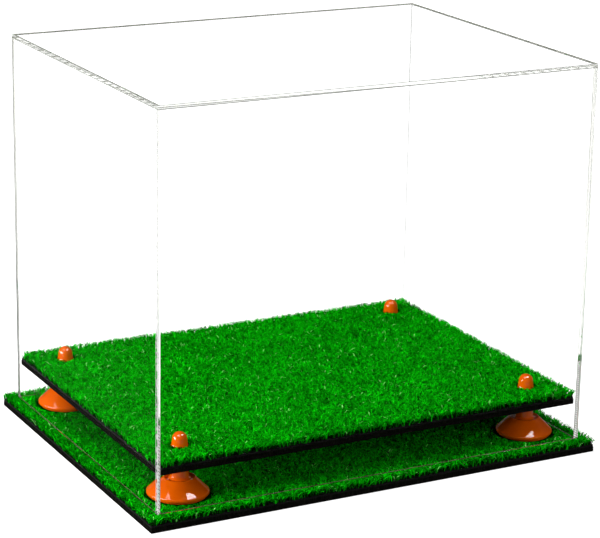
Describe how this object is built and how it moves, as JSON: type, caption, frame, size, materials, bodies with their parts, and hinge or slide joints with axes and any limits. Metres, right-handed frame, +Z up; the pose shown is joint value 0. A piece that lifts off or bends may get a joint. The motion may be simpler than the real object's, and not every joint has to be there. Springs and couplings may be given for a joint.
{
  "type": "collectible display case",
  "caption": "Clear box cover that lifts off a two-tier turf-covered stand with bell-shaped risers and domed cap knobs, for showing a ball or helmet.",
  "frame": {"origin": "on the supporting surface, under the middle of the base board", "axes": "+X along the long side, -Y towards the front, +Z up, the way the cover lifts"},
  "size_m": [0.3874, 0.2984, 0.3142],
  "materials": {
    "clear_acrylic": "clear, polished",
    "black_acrylic": "polished",
    "turf_backing": "matt woven backing",
    "turf_pile": "short tufted blades",
    "orange_plastic": "high gloss, moulded",
    "screw_steel": "zinc plated"
  },
  "bodies": {
    "stand": {"base_board": "black_acrylic", "base_turf_backing": "turf_backing", "base_turf_pile": "turf_pile", "riser_front_left": "orange_plastic", "riser_front_right": "orange_plastic", "riser_back_left": "orange_plastic", "riser_back_right": "orange_plastic", "screw_front_left": "screw_steel", "screw_front_right": "screw_steel", "screw_back_left": "screw_steel", "screw_back_right": "screw_steel", "shelf_board": "black_acrylic", "shelf_turf_backing": "turf_backing", "shelf_turf_pile": "turf_pile", "cap_knob_front_left": "orange_plastic", "cap_knob_front_right": "orange_plastic", "cap_knob_back_left": "orange_plastic", "cap_knob_back_right": "orange_plastic"},
    "cover": {"cover_top_panel": "clear_acrylic", "cover_front_panel": "clear_acrylic", "cover_back_panel": "clear_acrylic", "cover_left_panel": "clear_acrylic", "cover_right_panel": "clear_acrylic"}
  },
  "joints": [
    {"name": "cover_lift", "type": "slide", "parent": "stand", "child": "cover", "axis": [0, 0, 1], "range_m": [0, 0.32]}
  ]
}
